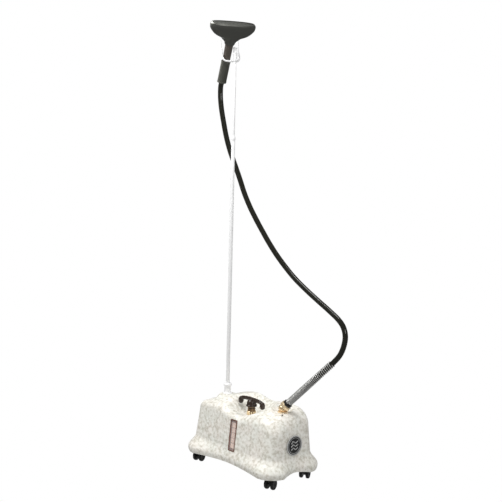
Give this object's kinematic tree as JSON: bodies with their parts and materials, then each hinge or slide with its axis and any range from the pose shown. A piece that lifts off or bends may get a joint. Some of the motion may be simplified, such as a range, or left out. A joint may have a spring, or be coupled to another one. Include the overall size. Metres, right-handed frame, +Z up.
{
  "type": "garment steamer",
  "caption": "Upright garment steamer: cast housing on swivel casters with boiler and filler cap, steam hose with spring guard, pole and hook holding a hand-held steam head",
  "frame": {"origin": "on the floor under the middle of the housing", "axes": "+Z up, +X towards the hose outlet end, -Y the front with the sight gauge"},
  "size_m": [0.5888, 0.256, 1.5356],
  "materials": {
    "enamel": "speckled off-white hammered enamel on cast metal",
    "steel": "bright zinc-plated steel",
    "copper": "dull copper sheet",
    "brass": "machined brass",
    "black_plastic": "black moulded plastic with a slight sheen",
    "head_plastic": "dark grey satin moulded plastic",
    "rubber": "black rubber",
    "white_paint": "white powder coat",
    "glass": "clear sight glass",
    "red_lens": "red lamp lens"
  },
  "bodies": {
    "base": {"housing_shell": "enamel", "base_plate": "steel", "boiler_tank": "copper", "boiler_saddle_left": "steel", "boiler_saddle_right": "steel", "heating_element": "steel", "thermostat": "black_plastic", "terminal_block": "black_plastic", "filler_neck": "brass", "window_bezel": "copper", "window_glass": "glass", "gauge_tube": "glass", "gauge_lower_fitting": "brass", "gauge_upper_fitting": "brass", "switch_body": "black_plastic", "pilot_lamp": "red_lens", "cord_gland": "black_plastic", "end_badge": "steel", "steam_elbow": "brass", "union_nut": "brass", "hose_collar": "black_plastic", "spring_guard": "steel", "steam_hose": "rubber", "pole_socket": "white_paint", "lower_pole": "white_paint", "pole_ferrule": "white_paint", "upper_pole": "white_paint", "head_hook": "white_paint", "caster_socket_left_front": "steel", "caster_socket_right_front": "steel", "caster_socket_right_rear": "steel", "caster_socket_left_rear": "steel"},
    "cap_seal": {"cap_gasket": "rubber"},
    "filler_cap": {"cap_plug": "brass", "cap_handle": "black_plastic"},
    "rocker": {"switch_rocker": "black_plastic"},
    "steam_head": {"nozzle_shell": "head_plastic", "nozzle_face": "head_plastic", "head_neck": "head_plastic", "grip_sleeve": "rubber"},
    "caster_left_front": {"caster_hood_left_front": "black_plastic"},
    "wheel_left_front_inner": {"caster_wheel_left_front_inner": "black_plastic"},
    "wheel_left_front_outer": {"caster_wheel_left_front_outer": "black_plastic"},
    "caster_right_front": {"caster_hood_right_front": "black_plastic"},
    "wheel_right_front_inner": {"caster_wheel_right_front_inner": "black_plastic"},
    "wheel_right_front_outer": {"caster_wheel_right_front_outer": "black_plastic"},
    "caster_right_rear": {"caster_hood_right_rear": "black_plastic"},
    "wheel_right_rear_inner": {"caster_wheel_right_rear_inner": "black_plastic"},
    "wheel_right_rear_outer": {"caster_wheel_right_rear_outer": "black_plastic"},
    "caster_left_rear": {"caster_hood_left_rear": "black_plastic"},
    "wheel_left_rear_inner": {"caster_wheel_left_rear_inner": "black_plastic"},
    "wheel_left_rear_outer": {"caster_wheel_left_rear_outer": "black_plastic"}
  },
  "joints": [
    {"name": "cap_rise", "type": "slide", "parent": "base", "child": "cap_seal", "axis": [0, 0, 1], "range_m": [0, 0.01]},
    {"name": "cap_turn", "type": "hinge", "parent": "cap_seal", "child": "filler_cap", "pos_m": [0.008, -0.012, 0.22], "axis": [0, 0, 1], "range_deg": [0, 1440]},
    {"name": "rocker_tilt", "type": "hinge", "parent": "base", "child": "rocker", "pos_m": [-0.032, 0.1, 0.124], "axis": [1, 0, 0], "range_deg": [0, 14]},
    {"name": "head_lift", "type": "slide", "parent": "base", "child": "steam_head", "axis": [0, 0, 1], "range_m": [0, 0.09], "deforming": ["steam_hose"]},
    {"name": "swivel_left_front", "type": "hinge", "parent": "base", "child": "caster_left_front", "pos_m": [-0.187, -0.072, 0.05], "axis": [0, 0, 1], "continuous": true},
    {"name": "roll_left_front_inner", "type": "hinge", "parent": "caster_left_front", "child": "wheel_left_front_inner", "pos_m": [-0.18221, -0.08516, 0.01817], "axis": [0.9397, 0.342, 0], "continuous": true},
    {"name": "roll_left_front_outer", "type": "hinge", "parent": "caster_left_front", "child": "wheel_left_front_outer", "pos_m": [-0.18221, -0.08516, 0.01817], "axis": [0.9397, 0.342, 0], "continuous": true},
    {"name": "swivel_right_front", "type": "hinge", "parent": "base", "child": "caster_right_front", "pos_m": [0.187, -0.072, 0.05], "axis": [0, 0, 1], "continuous": true},
    {"name": "roll_right_front_inner", "type": "hinge", "parent": "caster_right_front", "child": "wheel_right_front_inner", "pos_m": [0.19179, -0.08516, 0.01817], "axis": [0.9397, 0.342, 0], "continuous": true},
    {"name": "roll_right_front_outer", "type": "hinge", "parent": "caster_right_front", "child": "wheel_right_front_outer", "pos_m": [0.19179, -0.08516, 0.01817], "axis": [0.9397, 0.342, 0], "continuous": true},
    {"name": "swivel_right_rear", "type": "hinge", "parent": "base", "child": "caster_right_rear", "pos_m": [0.187, 0.072, 0.05], "axis": [0, 0, 1], "continuous": true},
    {"name": "roll_right_rear_inner", "type": "hinge", "parent": "caster_right_rear", "child": "wheel_right_rear_inner", "pos_m": [0.18, 0.08412, 0.01817], "axis": [-0.866, -0.5, 0], "continuous": true},
    {"name": "roll_right_rear_outer", "type": "hinge", "parent": "caster_right_rear", "child": "wheel_right_rear_outer", "pos_m": [0.18, 0.08412, 0.01817], "axis": [-0.866, -0.5, 0], "continuous": true},
    {"name": "swivel_left_rear", "type": "hinge", "parent": "base", "child": "caster_left_rear", "pos_m": [-0.187, 0.072, 0.05], "axis": [0, 0, 1], "continuous": true},
    {"name": "roll_left_rear_inner", "type": "hinge", "parent": "caster_left_rear", "child": "wheel_left_rear_inner", "pos_m": [-0.18943, 0.08579, 0.01817], "axis": [-0.9848, -0.1736, 0], "continuous": true},
    {"name": "roll_left_rear_outer", "type": "hinge", "parent": "caster_left_rear", "child": "wheel_left_rear_outer", "pos_m": [-0.18943, 0.08579, 0.01817], "axis": [-0.9848, -0.1736, 0], "continuous": true}
  ],
  "couplings": [
    {"joint": "cap_rise", "follows": "cap_turn", "m_per_rad": 0.000398}
  ]
}
